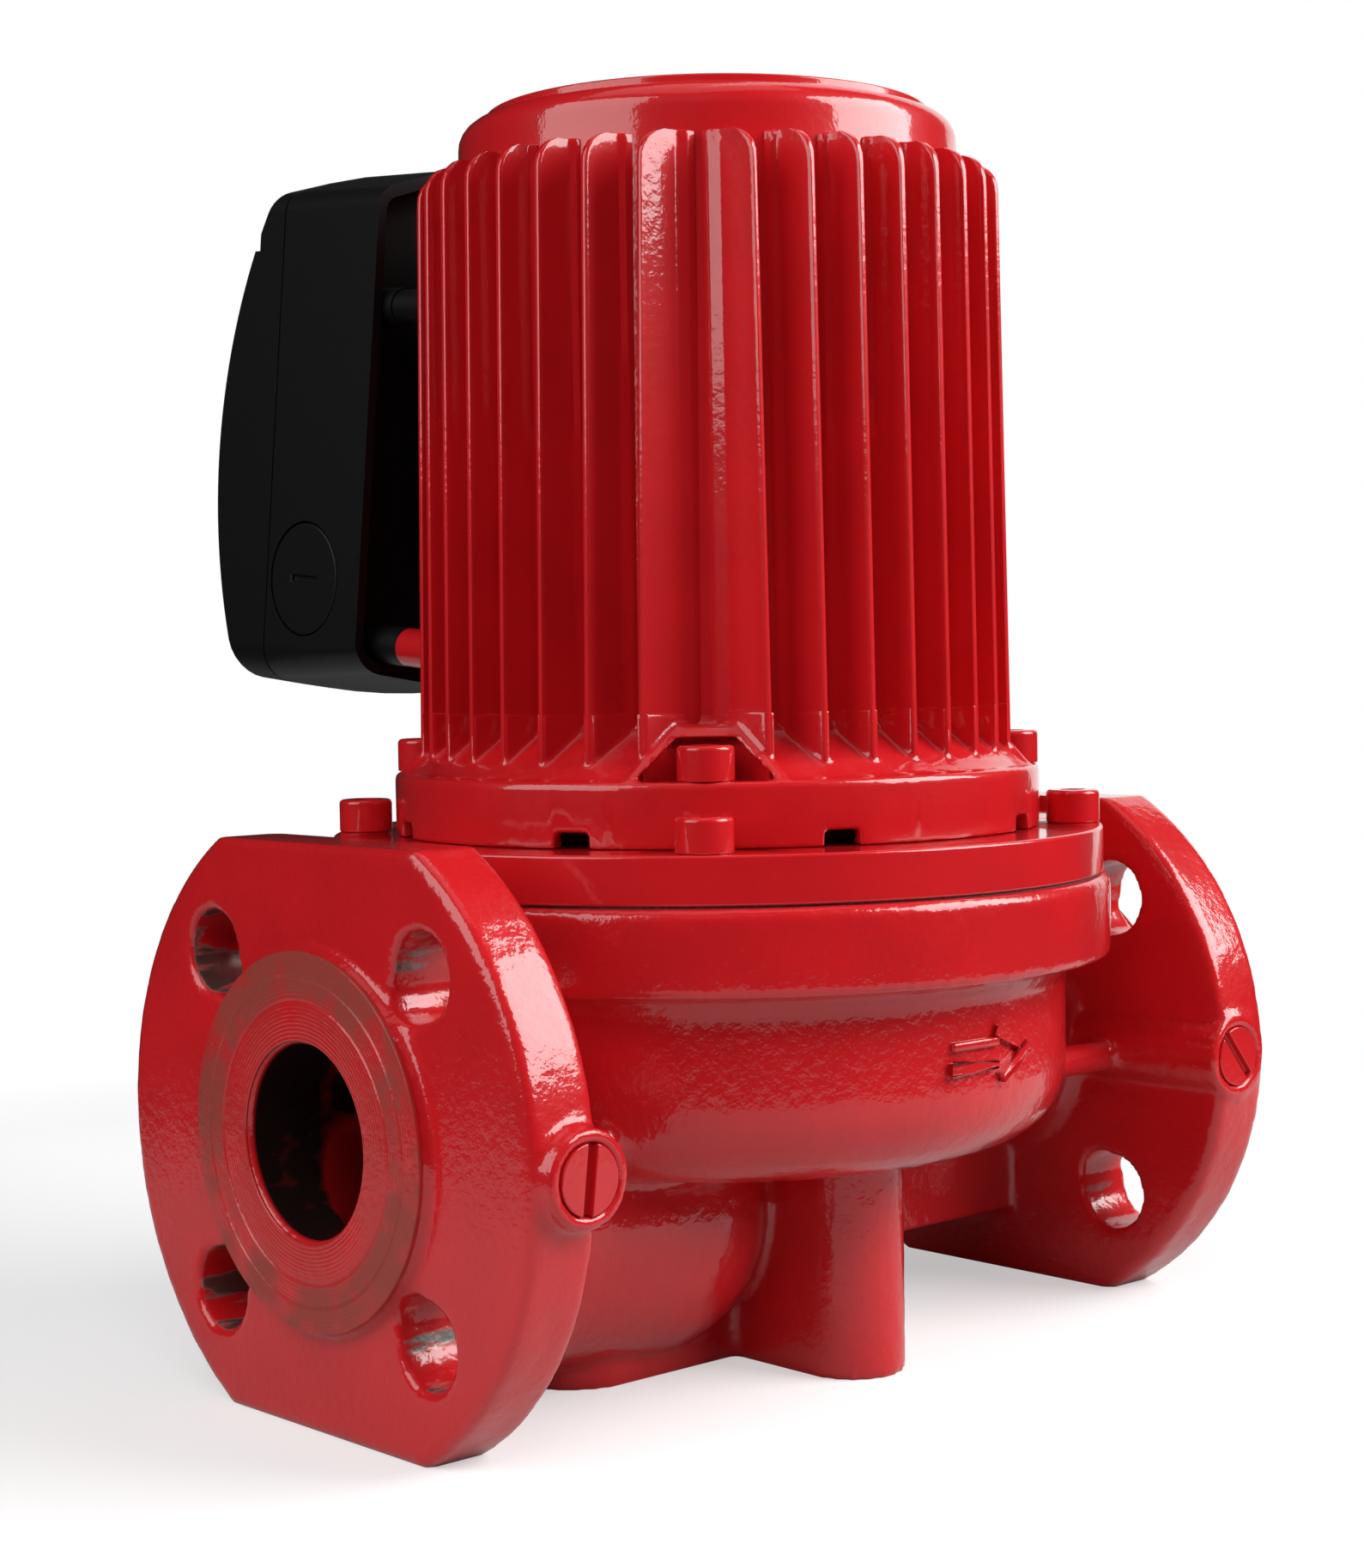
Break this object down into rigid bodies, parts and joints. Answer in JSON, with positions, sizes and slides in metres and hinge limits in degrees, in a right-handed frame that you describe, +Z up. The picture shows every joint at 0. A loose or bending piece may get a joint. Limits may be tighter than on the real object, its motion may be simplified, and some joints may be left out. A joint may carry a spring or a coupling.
{
  "type": "circulation pump",
  "caption": "Flanged in-line heating circulator with a canned rotor, finned motor housing, volute casing on two feet and a side terminal box.",
  "frame": {"origin": "on the motor axis, level with the undersides of the feet and midway between the two foot holes", "axes": "+X along the pipe from inlet to outlet, +Z up along the motor shaft, +Y towards the terminal box"},
  "size_m": [0.25, 0.2411, 0.3016],
  "materials": {
    "casting": "glossy",
    "housing": "glossy",
    "cover_plate": "glossy",
    "painted_screw": "glossy",
    "plug_paint": "glossy",
    "steel": "satin",
    "can_steel": "satin",
    "bronze": "satin",
    "iron": "matte",
    "carbon": "matte",
    "copper": "lacquered",
    "rubber": "matte",
    "gasket": "matte",
    "black_plastic": "fine grain",
    "grey_plastic": "satin",
    "dark_plastic": "satin"
  },
  "bodies": {
    "pump": {"pump_housing": "casting", "wear_ring": "bronze", "tapping_plugs": "plug_paint", "housing_gasket": "gasket", "motor_flange": "cover_plate", "casing_screws": "painted_screw", "bearing_plate": "steel", "plate_screws": "steel", "lower_bearing": "carbon", "can_seal": "rubber", "rotor_can": "can_steel", "upper_bearing": "carbon", "bearing_holder": "steel", "stator_core": "iron", "stator_windings": "copper", "stator_housing": "housing", "stator_screws": "painted_screw", "vent_seal": "rubber", "terminal_base": "black_plastic", "box_screws": "steel", "lead_grommet": "rubber", "terminal_block": "grey_plastic", "terminal_screws": "steel", "selector_module": "dark_plastic", "earth_screw": "bronze", "entry_plugs": "black_plastic", "cover_seal": "rubber", "terminal_cover": "black_plastic", "cover_screws": "steel"},
    "rotor": {"shaft": "steel", "rotor_core": "iron", "thrust_ring": "carbon", "impeller": "bronze", "impeller_nut": "bronze"},
    "vent": {"vent_plug": "steel"},
    "selector": {"speed_selector": "grey_plastic"}
  },
  "joints": [
    {"name": "rotor_spin", "type": "hinge", "parent": "pump", "child": "rotor", "pos_m": [0, 0, 0.2], "axis": [0, 0, 1], "continuous": true},
    {"name": "vent_plug_turn", "type": "hinge", "parent": "pump", "child": "vent", "pos_m": [0, 0, 0.29], "axis": [0, 0, 1], "range_deg": [0, 720]},
    {"name": "speed_selector_turn", "type": "hinge", "parent": "pump", "child": "selector", "pos_m": [0, 0.09562, 0.20353], "axis": [0, 0.9962, 0.0872], "range_deg": [0, 240]}
  ]
}
